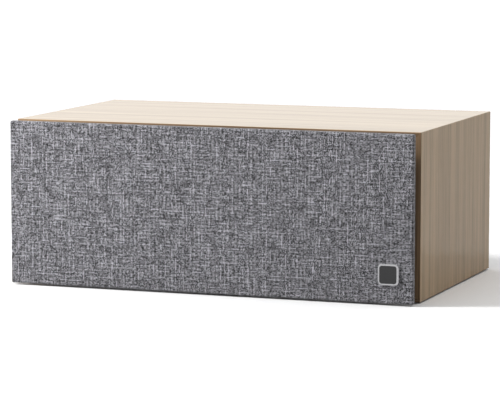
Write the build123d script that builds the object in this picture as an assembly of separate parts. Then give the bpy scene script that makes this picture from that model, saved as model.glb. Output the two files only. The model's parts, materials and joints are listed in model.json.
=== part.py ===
from build123d import *
from math import sqrt
import os

# Centre channel loudspeaker, in millimetres: x to the right seen from the front, y to the back, z up.
# Pieces are drawn with y = 0 at the cabinet's front edges and z = 0 at its mid height, and are moved
# at the end so that the middle of the footprint is the origin.

# Fits
FIT = 0.1
SLIDE_FIT = 0.3

# Cabinet
WALL = 16.0
CABINET_DEPTH = 280.0
CABINET_EDGE_RADIUS = 0.8
BAFFLE_THICKNESS = 18.0
REAR_THICKNESS = 16.0
SIDE_MARGIN = 5.0
TOP_MARGIN = 4.0
DRIVER_GAP = 21.0
BRACE_THICKNESS = 12.0
BRACE_RIM = 22.0
BRACE_WINDOW_RADIUS = 18.0
PAD_RADIUS = 9.0
PAD_HEIGHT = 1.5
PAD_INSET = 28.0

# Grille
GRILLE_GAP = 16.5
GRILLE_SIDE_INSET = 1.4
GRILLE_TOP_INSET = 0.5
GRILLE_CORNER_RADIUS = 2.0
GRILLE_EDGE_RADIUS = 1.5
CLOTH_THICKNESS = 0.8
HEM_WIDTH = 14.0
FRAME_THICKNESS = 5.6
FRAME_HOLE_MARGIN = 8.5
FRAME_HOLE_CHAMFER = 2.0
PEG_SIDE_INSET = 18.0
PEG_TOP_INSET = 8.0
PEG_RADIUS = 6.0
PEG_SPIGOT_RADIUS = 3.5
PEG_SPIGOT_LENGTH = 3.6
PEG_NOSE_RADIUS = 3.6
PEG_NOSE_LENGTH = 9.0
PEG_NOSE_CHAMFER = 1.0
SOCKET_WALL = 1.6
SOCKET_FLOOR = 1.4
SOCKET_FLANGE_RADIUS = 7.6
SOCKET_FLANGE_THICKNESS = 1.0
BADGE_SIZE = 24.0
BADGE_CORNER_RADIUS = 5.0
BADGE_THICKNESS = 1.8
BADGE_BEVEL = 0.7
BADGE_RIM_WIDTH = 2.2
BADGE_INLAY_THICKNESS = 0.9
BADGE_SIDE_INSET = 27.6
BADGE_BOTTOM_INSET = 32.0
BADGE_PIN_RADIUS = 1.2
BADGE_PIN_LENGTH = 4.4
BADGE_PIN_SPACING = 12.0

# Woofers
COIL_RADIUS = 12.5
FORMER_WALL = 0.3
WINDING_THICKNESS = 0.9
WINDING_LENGTH = 12.0
COIL_CLEARANCE = 0.5
CONE_RADIUS = 47.5
CONE_RIM_WIDTH = 3.0
CONE_THICKNESS = 0.8
CONE_DEPTH = 18.0
DUST_CAP_RADIUS = 17.0
DUST_CAP_HEIGHT = 6.0
DUST_CAP_THICKNESS = 0.6
ROLL_WIDTH = 10.0
SURROUND_THICKNESS = 0.8
SURROUND_LIP = 6.5
GASKET_THICKNESS = 1.7
WOOFER_RIM_WIDTH = 9.0
WOOFER_FLANGE_THICKNESS = 4.5
BASKET_DEPTH = 38.0
BASKET_WALL = 3.0
BASKET_SEAT_RADIUS = 46.0
BASKET_SEAT_HOLE_RADIUS = 24.0
BASKET_SEAT_THICKNESS = 5.0
BASKET_WINDOWS = 6
BASKET_WINDOW_WIDTH = 34.0
BASKET_BAND = 3.0
SPIDER_LEDGE_DEPTH = 22.6
SPIDER_LEDGE_THICKNESS = 2.4
SPIDER_LEDGE_WIDTH = 6.0
SPIDER_THICKNESS = 0.5
SPIDER_WAVES = 3
SPIDER_WAVE_HEIGHT = 2.0
SPIDER_LAND = 3.0
WOOFER_PLATE_RADIUS = 38.0
WOOFER_PLATE_THICKNESS = 6.0
WOOFER_MAGNET_RADIUS = 45.0
WOOFER_MAGNET_HOLE_RADIUS = 22.0
WOOFER_MAGNET_THICKNESS = 15.0
WOOFER_YOKE_RADIUS = 40.0
WOOFER_YOKE_THICKNESS = 6.0
POLE_VENT_RADIUS = 4.0

# Tweeter
TWEETER_RADIUS = 52.0
TWEETER_PLATE_THICKNESS = 4.0
HORN_RADIUS = 34.0
HORN_LIP = 0.6
DOME_RADIUS = 13.0
DOME_HEIGHT = 3.6
DOME_THICKNESS = 0.3
DOME_ROLL_WIDTH = 3.0
DOME_LIP = 4.0
TWEETER_COIL_WALL = 0.5
TWEETER_COIL_LENGTH = 5.6
TWEETER_TOP_PLATE_RADIUS = 34.0
TWEETER_TOP_PLATE_THICKNESS = 4.0
TWEETER_MAGNET_RADIUS = 36.0
TWEETER_MAGNET_HOLE_RADIUS = 20.0
TWEETER_MAGNET_THICKNESS = 12.0
TWEETER_YOKE_THICKNESS = 4.0
TWEETER_HOLE_CLEARANCE = 2.0

# Screws of the drivers and of the terminal cup
SCREW_RADIUS = 1.8
SCREW_HEAD_RADIUS = 3.6
SCREW_LENGTH = 14.0
SCREW_SOCKET_RADIUS = 1.5
SCREW_SOCKET_DEPTH = 1.2
TWEETER_SCREWS = 4

# Reflex port
PORT_RADIUS = 23.0
PORT_WALL = 2.5
PORT_LENGTH = 110.0
PORT_FLARE = 9.0
PORT_FLANGE_WIDTH = 8.0
PORT_SIDE_MARGIN = 30.0

# Terminals
REAR_FLANGE = 2.5
CUP_WIDTH = 88.0
CUP_HEIGHT = 58.0
CUP_WALL = 2.5
CUP_CORNER_RADIUS = 8.0
CUP_FLANGE_WIDTH = 9.0
CUP_RECESS = 26.0
POST_SPACING = 30.0
POST_RADIUS = 3.6
POST_LENGTH = 23.0
POST_COLLAR_RADIUS = 6.5
POST_COLLAR_LENGTH = 3.0
POST_BORE_RADIUS = 2.0
POST_BORE_LENGTH = 15.0
POST_WIRE_HOLE_RADIUS = 1.4
POST_WIRE_HOLE_MARGIN = 0.4
POST_TAIL_RADIUS = 2.5
POST_TAIL_LENGTH = 14.0
NUT_RADIUS = 5.0
NUT_THICKNESS = 4.0
RING_THICKNESS = 1.2
CAP_RADIUS = 7.5
CAP_LENGTH = 16.0
CAP_FLUTES = 12
CAP_FLUTE_RADIUS = 1.2
CAP_EDGE = 0.8

# Crossover
BOARD_LENGTH = 116.0
BOARD_WIDTH = 100.0
BOARD_THICKNESS = 1.6
BOARD_GAP = 8.0
BOARD_SETBACK = 45.0
STANDOFF_RADIUS = 4.0
STANDOFF_HEIGHT = 6.0
STANDOFF_INSET = 7.0
WOOFER_COIL_RADIUS = 24.0
WOOFER_COIL_HOLE_RADIUS = 10.0
WOOFER_COIL_HEIGHT = 18.0
TWEETER_COIL_RADIUS = 16.0
TWEETER_COIL_HOLE_RADIUS = 7.0
TWEETER_COIL_HEIGHT = 14.0
CAPACITOR_RADIUS = 8.0
CAPACITOR_LENGTH = 32.0
RESISTOR_LENGTH = 44.0
RESISTOR_SIZE = 9.0
COMPONENT_GAP = 4.0

# Driver terminals, leads and damping
TAB_WIDTH = 14.0
TAB_HEIGHT = 14.0
TAB_THICKNESS = 1.6
TAB_SEAT = 5.0
LEAD_RADIUS = 1.4
LEAD_BEND = 6.0
LEAD_SPACING = 12.0
DAMPING_THICKNESS = 20.0
DAMPING_MARGIN = 8.0

# Sizes worked out from the ones above: a woofer's flange sets the cabinet's width and height
ROLL_OUTER_RADIUS = CONE_RADIUS + ROLL_WIDTH
FLANGE_SEAT_RADIUS = ROLL_OUTER_RADIUS + SURROUND_LIP
WOOFER_RADIUS = FLANGE_SEAT_RADIUS + WOOFER_RIM_WIDTH
WOOFER_OFFSET = TWEETER_RADIUS + DRIVER_GAP + WOOFER_RADIUS
INNER_WIDTH = 2 * (WOOFER_OFFSET + WOOFER_RADIUS + SIDE_MARGIN)
INNER_HEIGHT = 2 * (WOOFER_RADIUS + TOP_MARGIN)
CABINET_WIDTH = INNER_WIDTH + 2 * WALL
CABINET_HEIGHT = INNER_HEIGHT + 2 * WALL
GRILLE_WIDTH = CABINET_WIDTH - 2 * GRILLE_SIDE_INSET
GRILLE_HEIGHT = CABINET_HEIGHT - 2 * GRILLE_TOP_INSET
REAR_INSIDE = CABINET_DEPTH - REAR_THICKNESS
REAR_FACE = CABINET_DEPTH + REAR_FLANGE

HEM_BACK = -GRILLE_GAP
FRAME_BACK = HEM_BACK - CLOTH_THICKNESS
FRAME_FRONT = FRAME_BACK - FRAME_THICKNESS
CLOTH_FRONT = FRAME_FRONT - CLOTH_THICKNESS
BADGE_FRONT = CLOTH_FRONT - BADGE_THICKNESS
BADGE_X = GRILLE_WIDTH / 2 - BADGE_SIDE_INSET
BADGE_Z = BADGE_BOTTOM_INSET - GRILLE_HEIGHT / 2
BADGE_PIN_X = (BADGE_X - BADGE_PIN_SPACING / 2, BADGE_X + BADGE_PIN_SPACING / 2)
PEG_X = INNER_WIDTH / 2 - PEG_SIDE_INSET
PEG_Z = INNER_HEIGHT / 2 - PEG_TOP_INSET
PEG_PLACES = [(x, z) for x in (-PEG_X, 0, PEG_X) for z in (-PEG_Z, PEG_Z)]
SOCKET_BORE = PEG_NOSE_RADIUS + SLIDE_FIT
SOCKET_RADIUS = SOCKET_BORE + SOCKET_WALL
SOCKET_BORE_DEPTH = PEG_NOSE_LENGTH + SOCKET_WALL
SOCKET_DEPTH = SOCKET_BORE_DEPTH + SOCKET_FLOOR

SCREW_HEAD_DEPTH = SCREW_HEAD_RADIUS - SCREW_RADIUS
WOOFER_SCREW_CIRCLE = WOOFER_RADIUS - WOOFER_RIM_WIDTH / 2
TWEETER_SCREW_CIRCLE = (TWEETER_RADIUS + HORN_RADIUS) / 2
LIP_BACK = GASKET_THICKNESS + SURROUND_THICKNESS
FORMER_RADIUS = COIL_RADIUS + FORMER_WALL
WINDING_RADIUS = FORMER_RADIUS + WINDING_THICKNESS
CONE_NECK_RADIUS = FORMER_RADIUS + FIT
CONE_FLAT_RADIUS = CONE_RADIUS - CONE_RIM_WIDTH
CONE_SLOPE = CONE_DEPTH / (CONE_FLAT_RADIUS - CONE_NECK_RADIUS)
CONE_WALL_DEPTH = CONE_THICKNESS * sqrt(1 + CONE_SLOPE**2)
SEAT_BACK = BASKET_DEPTH + BASKET_SEAT_THICKNESS
WOOFER_PLATE_BACK = SEAT_BACK + WOOFER_PLATE_THICKNESS
WOOFER_MAGNET_BACK = WOOFER_PLATE_BACK + WOOFER_MAGNET_THICKNESS
WOOFER_BACK = WOOFER_MAGNET_BACK + WOOFER_YOKE_THICKNESS
WINDING_FRONT = SEAT_BACK + (WOOFER_PLATE_THICKNESS - WINDING_LENGTH) / 2
WOOFER_HOLE_RADIUS = ROLL_OUTER_RADIUS + BASKET_WALL + SLIDE_FIT
FRAME_WOOFER_HOLE = ROLL_OUTER_RADIUS + FRAME_HOLE_MARGIN
FRAME_TWEETER_HOLE = HORN_RADIUS + FRAME_HOLE_MARGIN

THROAT_RADIUS = DOME_RADIUS + DOME_ROLL_WIDTH
DOME_LIP_RADIUS = THROAT_RADIUS + DOME_LIP
TWEETER_SPACER_BACK = TWEETER_PLATE_THICKNESS + DOME_THICKNESS
TWEETER_TOP_BACK = TWEETER_SPACER_BACK + TWEETER_TOP_PLATE_THICKNESS
TWEETER_MAGNET_BACK = TWEETER_TOP_BACK + TWEETER_MAGNET_THICKNESS
TWEETER_BACK = TWEETER_MAGNET_BACK + TWEETER_YOKE_THICKNESS
TWEETER_COIL_OUTER = DOME_RADIUS
TWEETER_COIL_INNER = DOME_RADIUS - TWEETER_COIL_WALL
TWEETER_HOLE_RADIUS = TWEETER_MAGNET_RADIUS + TWEETER_HOLE_CLEARANCE

BRACE_X = TWEETER_RADIUS + DRIVER_GAP / 2
PORT_MOUTH_RADIUS = PORT_RADIUS + PORT_FLARE
PORT_COLLAR_RADIUS = PORT_MOUTH_RADIUS + PORT_WALL
PORT_X = INNER_WIDTH / 2 - PORT_SIDE_MARGIN - PORT_COLLAR_RADIUS - DAMPING_THICKNESS

CUP_FLOOR = REAR_FACE - CUP_RECESS
CUP_BACK = CUP_FLOOR - CUP_WALL
CUP_SCREW_X = CUP_WIDTH / 2 + CUP_FLANGE_WIDTH / 2
CUP_SCREW_Z = CUP_HEIGHT / 2 - CUP_CORNER_RADIUS
CUP_SCREW_PLACES = [(x, z) for x in (-CUP_SCREW_X, CUP_SCREW_X) for z in (-CUP_SCREW_Z, CUP_SCREW_Z)]
POST_PLACES = {"negative": -POST_SPACING / 2, "positive": POST_SPACING / 2}
COLLAR_BACK = CUP_FLOOR + POST_COLLAR_LENGTH
RING_BACK = COLLAR_BACK + RING_THICKNESS
POST_BACK = CUP_FLOOR + POST_LENGTH
POST_TAIL_END = CUP_BACK - POST_TAIL_LENGTH + CUP_WALL

FLOOR_Z = -INNER_HEIGHT / 2
BOARD_X = -(BRACE_X + BRACE_THICKNESS / 2 + BOARD_GAP + BOARD_LENGTH / 2)
BOARD_Y = WOOFER_BACK + BOARD_SETBACK + BOARD_WIDTH / 2
BOARD_BOTTOM = FLOOR_Z + STANDOFF_HEIGHT
BOARD_TOP = BOARD_BOTTOM + BOARD_THICKNESS


# Basic shapes


def turned(*corners):
    """Solid of revolution about the y axis from (radius, depth) corners."""
    return revolve(make_face(Polyline(*corners, close=True)), Axis.Y)


def turned_profile(*edges):
    """Solid of revolution about the y axis from the lines and arcs of its half section."""
    return revolve(make_face(Curve() + list(edges)), Axis.Y)


def plate(outline, front, back):
    """Board with an outline drawn in x and z, between two depths."""
    return Pos(0, back, 0) * extrude(Plane.XZ * outline, back - front)


def rod(radius, front, back, x=0.0, z=0.0):
    """Round bar along y."""
    return plate(Pos(x, z) * Circle(radius), front, back)


def ring(inner, outer, front, back):
    """Tube along y."""
    return turned((inner, front), (outer, front), (outer, back), (inner, back))


def upright(outline, bottom, height):
    """Prism of an outline in x and y, standing at a height."""
    return Pos(0, 0, bottom) * extrude(outline, height)


def around(shape, count, start=0.0):
    """Copies of a shape evenly spaced about the y axis."""
    return [Rot(0, start + 360 * step / count, 0) * shape for step in range(count)]


def group(shapes):
    """Separate solids that share one node."""
    return Compound(children=[solid for shape in shapes for solid in shape.solids()])


def screw():
    """Countersunk screw with a hexagon socket, its head's face at y = 0."""
    shank = turned(
        (0, 0),
        (SCREW_HEAD_RADIUS, 0),
        (SCREW_RADIUS, SCREW_HEAD_DEPTH),
        (SCREW_RADIUS, SCREW_LENGTH),
        (0, SCREW_LENGTH),
    )
    return shank - plate(RegularPolygon(SCREW_SOCKET_RADIUS, 6), 0, SCREW_SOCKET_DEPTH)


def screw_seat():
    """Countersunk hole that the screw passes into."""
    return turned(
        (0, 0),
        (SCREW_HEAD_RADIUS + FIT, 0),
        (SCREW_RADIUS + FIT, SCREW_HEAD_DEPTH),
        (SCREW_RADIUS + FIT, SCREW_LENGTH + FIT),
        (0, SCREW_LENGTH + FIT),
    )


def woofer_screw_places():
    """Places of a woofer's screws about its axis, one on each spoke between the windows."""
    return around(Pos(0, 0, WOOFER_SCREW_CIRCLE), BASKET_WINDOWS, 180 / BASKET_WINDOWS)


def tweeter_screw_places():
    """Places of the tweeter's screws about its axis."""
    return around(Pos(0, 0, TWEETER_SCREW_CIRCLE), TWEETER_SCREWS, 180 / TWEETER_SCREWS)


def cup_screw_places():
    """Places of the terminal cup's screws, facing the back."""
    return [Pos(x, REAR_FACE, z) * Rot(0, 0, 180) for x, z in CUP_SCREW_PLACES]


# Cabinet


def carcass():
    """Top, bottom, left and right boards, mitred along the four long edges, with soft outer edges."""
    block = fillet(Box(CABINET_WIDTH, CABINET_DEPTH, CABINET_HEIGHT).edges(), CABINET_EDGE_RADIUS)
    tube = Pos(0, CABINET_DEPTH / 2, 0) * block
    tube -= plate(Rectangle(INNER_WIDTH, INNER_HEIGHT), 0, CABINET_DEPTH)
    x, z = CABINET_WIDTH / 2, CABINET_HEIGHT / 2
    mitres = {
        "top_panel": ((-x, z), (x, z), (x - z, 0), (z - x, 0)),
        "bottom_panel": ((-x, -z), (x, -z), (x - z, 0), (z - x, 0)),
        "left_side_panel": ((-x, z), (-x, -z), (z - x, 0)),
        "right_side_panel": ((x, z), (x, -z), (x - z, 0)),
    }
    outlines = {node: make_face(Polyline(*corners, close=True)) for node, corners in mitres.items()}
    return {node: tube & plate(outline, 0, CABINET_DEPTH) for node, outline in outlines.items()}


def woofer_places():
    """Axes of the left and the right woofer."""
    return {"left": Pos(-WOOFER_OFFSET, 0, 0), "right": Pos(WOOFER_OFFSET, 0, 0)}


def front_baffle():
    """Board that carries the drivers, each let in flush, and the grille's sockets."""
    board = plate(Rectangle(INNER_WIDTH, INNER_HEIGHT), 0, BAFFLE_THICKNESS)
    for place in woofer_places().values():
        board -= place * rod(WOOFER_RADIUS + FIT, 0, WOOFER_FLANGE_THICKNESS)
        board -= place * rod(WOOFER_HOLE_RADIUS, 0, BAFFLE_THICKNESS)
        board -= [place * spot * screw_seat() for spot in woofer_screw_places()]
    board -= rod(TWEETER_RADIUS + FIT, 0, TWEETER_PLATE_THICKNESS)
    board -= rod(TWEETER_HOLE_RADIUS, 0, BAFFLE_THICKNESS)
    board -= [spot * screw_seat() for spot in tweeter_screw_places()]
    board -= [rod(SOCKET_RADIUS + FIT, 0, SOCKET_DEPTH + FIT, x, z) for x, z in PEG_PLACES]
    return board


def rear_panel():
    """Back board with the port's hole and the terminal cup's cut-out."""
    board = plate(Rectangle(INNER_WIDTH, INNER_HEIGHT), REAR_INSIDE, CABINET_DEPTH)
    board -= rod(PORT_COLLAR_RADIUS + FIT, REAR_INSIDE, CABINET_DEPTH, PORT_X)
    board -= plate(cup_outline(-FIT), REAR_INSIDE, CABINET_DEPTH)
    board -= [place * screw_seat() for place in cup_screw_places()]
    return board


def brace(x):
    """Cross board with a window, between the baffle and the rear panel."""
    length = REAR_INSIDE - BAFFLE_THICKNESS
    outline = Rectangle(length, INNER_HEIGHT)
    outline -= RectangleRounded(length - 2 * BRACE_RIM, INNER_HEIGHT - 2 * BRACE_RIM, BRACE_WINDOW_RADIUS)
    board = extrude(Plane.YZ * outline, BRACE_THICKNESS / 2, both=True)
    return Pos(x, BAFFLE_THICKNESS + length / 2, 0) * board


def foot_pads():
    """Four thin round pads under the bottom board."""
    x = CABINET_WIDTH / 2 - PAD_INSET
    y_places = (PAD_INSET, CABINET_DEPTH - PAD_INSET)
    pads = [Pos(side, y) * Circle(PAD_RADIUS) for side in (-x, x) for y in y_places]
    return group([upright(pad, -CABINET_HEIGHT / 2 - PAD_HEIGHT, PAD_HEIGHT) for pad in pads])


# Grille


def grille_envelope(inset, front, back):
    """Panel with rounded corners and rounded front edges, set in from the cloth's outer face."""
    width = GRILLE_WIDTH - 2 * inset
    height = GRILLE_HEIGHT - 2 * inset
    panel = plate(RectangleRounded(width, height, GRILLE_CORNER_RADIUS - inset), front, back)
    return fillet(panel.faces().sort_by(Axis.Y)[0].edges(), GRILLE_EDGE_RADIUS - inset)


def grille_cloth():
    """Cloth stretched over the frame's front and edges and turned in behind it."""
    cloth = grille_envelope(0, CLOTH_FRONT, HEM_BACK)
    cloth -= grille_envelope(CLOTH_THICKNESS, FRAME_FRONT, FRAME_BACK)
    hem_opening = RectangleRounded(
        GRILLE_WIDTH - 2 * HEM_WIDTH, GRILLE_HEIGHT - 2 * HEM_WIDTH, GRILLE_CORNER_RADIUS
    )
    cloth -= plate(hem_opening, FRAME_BACK, HEM_BACK)
    cloth -= [rod(BADGE_PIN_RADIUS + FIT, CLOTH_FRONT, FRAME_FRONT, x, BADGE_Z) for x in BADGE_PIN_X]
    return cloth


def frame_hole(radius, x):
    """Round opening in front of a driver, bevelled behind to let sound out sideways."""
    flare = turned(
        (0, FRAME_FRONT),
        (radius, FRAME_FRONT),
        (radius, FRAME_BACK - FRAME_HOLE_CHAMFER),
        (radius + FRAME_HOLE_CHAMFER, FRAME_BACK),
        (0, FRAME_BACK),
    )
    return Pos(x, 0, 0) * flare


def grille_frame():
    """Thin board with an opening for each driver and blind holes for pegs and badge."""
    frame = grille_envelope(CLOTH_THICKNESS + FIT, FRAME_FRONT, FRAME_BACK)
    frame -= frame_hole(FRAME_WOOFER_HOLE, -WOOFER_OFFSET)
    frame -= frame_hole(FRAME_WOOFER_HOLE, WOOFER_OFFSET)
    frame -= frame_hole(FRAME_TWEETER_HOLE, 0)
    peg_hole_end = FRAME_BACK - PEG_SPIGOT_LENGTH - FIT
    frame -= [rod(PEG_SPIGOT_RADIUS + FIT, peg_hole_end, FRAME_BACK, x, z) for x, z in PEG_PLACES]
    pin_hole_end = CLOTH_FRONT + BADGE_PIN_LENGTH + FIT
    frame -= [rod(BADGE_PIN_RADIUS + FIT, FRAME_FRONT, pin_hole_end, x, BADGE_Z) for x in BADGE_PIN_X]
    return frame


def grille_pegs():
    """Turned stand-offs that hold the frame clear of the cabinet, each with a nose for its socket."""
    shoulder = -SOCKET_FLANGE_THICKNESS
    tip = shoulder + PEG_NOSE_LENGTH
    peg = turned(
        (0, FRAME_BACK - PEG_SPIGOT_LENGTH),
        (PEG_SPIGOT_RADIUS, FRAME_BACK - PEG_SPIGOT_LENGTH),
        (PEG_SPIGOT_RADIUS, FRAME_BACK),
        (PEG_RADIUS, FRAME_BACK),
        (PEG_RADIUS, shoulder),
        (PEG_NOSE_RADIUS, shoulder),
        (PEG_NOSE_RADIUS, tip - PEG_NOSE_CHAMFER),
        (PEG_NOSE_RADIUS - PEG_NOSE_CHAMFER, tip),
        (0, tip),
    )
    return group([Pos(x, 0, z) * peg for x, z in PEG_PLACES])


def grille_sockets():
    """Flanged bushes in the baffle that grip the pegs' noses."""
    bush = turned(
        (SOCKET_BORE, -SOCKET_FLANGE_THICKNESS),
        (SOCKET_FLANGE_RADIUS, -SOCKET_FLANGE_THICKNESS),
        (SOCKET_FLANGE_RADIUS, 0),
        (SOCKET_RADIUS, 0),
        (SOCKET_RADIUS, SOCKET_DEPTH),
        (0, SOCKET_DEPTH),
        (0, SOCKET_BORE_DEPTH),
        (SOCKET_BORE, SOCKET_BORE_DEPTH),
    )
    return group([Pos(x, 0, z) * bush for x, z in PEG_PLACES])


def badge_outline(inset):
    """Rounded square of the badge, set in from its edge."""
    side = BADGE_SIZE - 2 * inset
    return Pos(BADGE_X, BADGE_Z) * RectangleRounded(side, side, BADGE_CORNER_RADIUS - inset)


def badge_rim():
    """Cast tray with a bevelled rim and two pins through the cloth into the frame."""
    rim = plate(badge_outline(0), BADGE_FRONT, CLOTH_FRONT)
    rim = chamfer(rim.faces().sort_by(Axis.Y)[0].edges(), BADGE_BEVEL)
    rim -= plate(badge_outline(BADGE_RIM_WIDTH), BADGE_FRONT, BADGE_FRONT + BADGE_INLAY_THICKNESS)
    pin_end = CLOTH_FRONT + BADGE_PIN_LENGTH
    return rim + [rod(BADGE_PIN_RADIUS, CLOTH_FRONT, pin_end, x, BADGE_Z) for x in BADGE_PIN_X]


def badge_inlay():
    """Plain plate in the badge's tray, a little below the rim."""
    back = BADGE_FRONT + BADGE_INLAY_THICKNESS
    return plate(badge_outline(BADGE_RIM_WIDTH + FIT), BADGE_FRONT + FIT, back)


# Woofers, drawn on the y axis


def woofer_basket():
    """Cast frame: flange with a sunk seat, six spokes, a ledge for the spider and a seat for the magnet."""
    shell = turned(
        (WOOFER_RADIUS, 0),
        (WOOFER_RADIUS, WOOFER_FLANGE_THICKNESS),
        (ROLL_OUTER_RADIUS + BASKET_WALL, WOOFER_FLANGE_THICKNESS),
        (BASKET_SEAT_RADIUS, BASKET_DEPTH),
        (BASKET_SEAT_RADIUS, SEAT_BACK),
        (BASKET_SEAT_HOLE_RADIUS, SEAT_BACK),
        (BASKET_SEAT_HOLE_RADIUS, BASKET_DEPTH),
        (BASKET_SEAT_RADIUS - BASKET_WALL, BASKET_DEPTH),
        (ROLL_OUTER_RADIUS, WOOFER_FLANGE_THICKNESS),
        (ROLL_OUTER_RADIUS, LIP_BACK),
        (FLANGE_SEAT_RADIUS, LIP_BACK),
        (FLANGE_SEAT_RADIUS, 0),
    )
    window_front = WOOFER_FLANGE_THICKNESS + BASKET_BAND
    window_depth = BASKET_DEPTH - BASKET_BAND - window_front
    cutter = Pos(0, window_front + window_depth / 2, ROLL_OUTER_RADIUS) * Box(
        BASKET_WINDOW_WIDTH, window_depth, ROLL_OUTER_RADIUS
    )
    shell -= around(cutter, BASKET_WINDOWS)
    ledge_back = SPIDER_LEDGE_DEPTH + SPIDER_LEDGE_THICKNESS
    shell += ring(ledge_inner_radius(), ledge_outer_radius(), SPIDER_LEDGE_DEPTH, ledge_back)
    return shell - [spot * screw_seat() for spot in woofer_screw_places()]


def ledge_outer_radius():
    """Radius halfway through the basket's sloping wall at the back of the spider's ledge."""
    share = (SPIDER_LEDGE_DEPTH + SPIDER_LEDGE_THICKNESS - WOOFER_FLANGE_THICKNESS) / (
        BASKET_DEPTH - WOOFER_FLANGE_THICKNESS
    )
    mouth = ROLL_OUTER_RADIUS + BASKET_WALL / 2
    seat = BASKET_SEAT_RADIUS - BASKET_WALL / 2
    return mouth + share * (seat - mouth)


def ledge_inner_radius():
    """Inner edge of the spider's ledge."""
    return ledge_outer_radius() - SPIDER_LEDGE_WIDTH


def woofer_gasket():
    """Flat ring that clamps the surround's lip in the flange."""
    return ring(ROLL_OUTER_RADIUS + SURROUND_THICKNESS, FLANGE_SEAT_RADIUS - FIT, 0, GASKET_THICKNESS)


def woofer_surround():
    """Half-roll suspension between the cone's rim and the flange."""
    middle = CONE_RADIUS + ROLL_WIDTH / 2
    inner_arc = ROLL_WIDTH / 2
    outer_arc = inner_arc + SURROUND_THICKNESS
    reach = sqrt(outer_arc**2 - SURROUND_THICKNESS**2)
    lip_edge = FLANGE_SEAT_RADIUS - FIT
    front, back = GASKET_THICKNESS, LIP_BACK
    return turned_profile(
        Line((lip_edge, back), (middle + inner_arc, back)),
        ThreePointArc((middle + inner_arc, back), (middle, back - inner_arc), (middle - inner_arc, back)),
        Line((middle - inner_arc, back), (CONE_FLAT_RADIUS, back)),
        Line((CONE_FLAT_RADIUS, back), (CONE_FLAT_RADIUS, front)),
        Line((CONE_FLAT_RADIUS, front), (middle - reach, front)),
        ThreePointArc((middle - reach, front), (middle, back - outer_arc), (middle + reach, front)),
        Line((middle + reach, front), (lip_edge, front)),
        Line((lip_edge, front), (lip_edge, back)),
    )


def woofer_cone():
    """Straight-sided paper cone with a flat rim behind the surround's inner lip."""
    neck_front = LIP_BACK + CONE_DEPTH
    return turned(
        (CONE_RADIUS, LIP_BACK),
        (CONE_FLAT_RADIUS, LIP_BACK),
        (CONE_NECK_RADIUS, neck_front),
        (CONE_NECK_RADIUS, neck_front + CONE_WALL_DEPTH),
        (CONE_FLAT_RADIUS, LIP_BACK + CONE_WALL_DEPTH),
        (CONE_RADIUS, LIP_BACK + CONE_WALL_DEPTH),
    )


def dust_cap():
    """Domed cap over the voice coil, on the cone's front."""
    edge = LIP_BACK + CONE_SLOPE * (CONE_FLAT_RADIUS - DUST_CAP_RADIUS) - FIT
    return domed_shell(DUST_CAP_RADIUS, edge - DUST_CAP_THICKNESS, DUST_CAP_HEIGHT, DUST_CAP_THICKNESS)


def domed_shell(radius, rim_front, height, thickness):
    """Round cap of even depth that bulges to the front."""
    sphere = (radius**2 + height**2) / (2 * height)
    half_way = radius / 2
    sag = height - sphere + sqrt(sphere**2 - half_way**2)
    crown = rim_front - height
    rim_back = rim_front + thickness
    return turned_profile(
        ThreePointArc((0, crown), (half_way, rim_front - sag), (radius, rim_front)),
        Line((radius, rim_front), (radius, rim_back)),
        ThreePointArc((radius, rim_back), (half_way, rim_back - sag), (0, crown + thickness)),
        Line((0, crown + thickness), (0, crown)),
    )


def woofer_voice_coil():
    """Former from the cone's neck into the gap, with the winding at its back."""
    winding_back = WINDING_FRONT + WINDING_LENGTH
    front = LIP_BACK + CONE_DEPTH
    return turned(
        (COIL_RADIUS, front),
        (FORMER_RADIUS, front),
        (FORMER_RADIUS, WINDING_FRONT),
        (WINDING_RADIUS, WINDING_FRONT),
        (WINDING_RADIUS, winding_back),
        (COIL_RADIUS, winding_back),
    )


def woofer_spider():
    """Corrugated disc that centres the former on the basket's ledge."""
    inner = FORMER_RADIUS + SLIDE_FIT
    outer = ledge_inner_radius() + SPIDER_LEDGE_WIDTH / 2
    wave = (outer - inner - 2 * SPIDER_LAND) / SPIDER_WAVES
    line = [(inner, 0), (inner + SPIDER_LAND, 0)]
    for step in range(SPIDER_WAVES):
        start = inner + SPIDER_LAND + step * wave
        line += [(start + wave / 4, -SPIDER_WAVE_HEIGHT / 2), (start + 3 * wave / 4, SPIDER_WAVE_HEIGHT / 2)]
    line += [(outer - SPIDER_LAND, 0), (outer, 0)]
    front = [(radius, SPIDER_LEDGE_DEPTH - SPIDER_THICKNESS + depth) for radius, depth in line]
    back = [(radius, SPIDER_LEDGE_DEPTH + depth) for radius, depth in reversed(line)]
    return turned(*front, *back)


def woofer_top_plate():
    """Steel ring round the voice coil."""
    return ring(WINDING_RADIUS + COIL_CLEARANCE, WOOFER_PLATE_RADIUS, SEAT_BACK, WOOFER_PLATE_BACK)


def woofer_magnet():
    """Ferrite ring."""
    return ring(WOOFER_MAGNET_HOLE_RADIUS, WOOFER_MAGNET_RADIUS, WOOFER_PLATE_BACK, WOOFER_MAGNET_BACK)


def woofer_yoke():
    """Steel back plate with a vented pole inside the voice coil."""
    pole = COIL_RADIUS - COIL_CLEARANCE
    return turned(
        (POLE_VENT_RADIUS, SEAT_BACK),
        (pole, SEAT_BACK),
        (pole, WOOFER_MAGNET_BACK),
        (WOOFER_YOKE_RADIUS, WOOFER_MAGNET_BACK),
        (WOOFER_YOKE_RADIUS, WOOFER_BACK),
        (POLE_VENT_RADIUS, WOOFER_BACK),
    )


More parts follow.
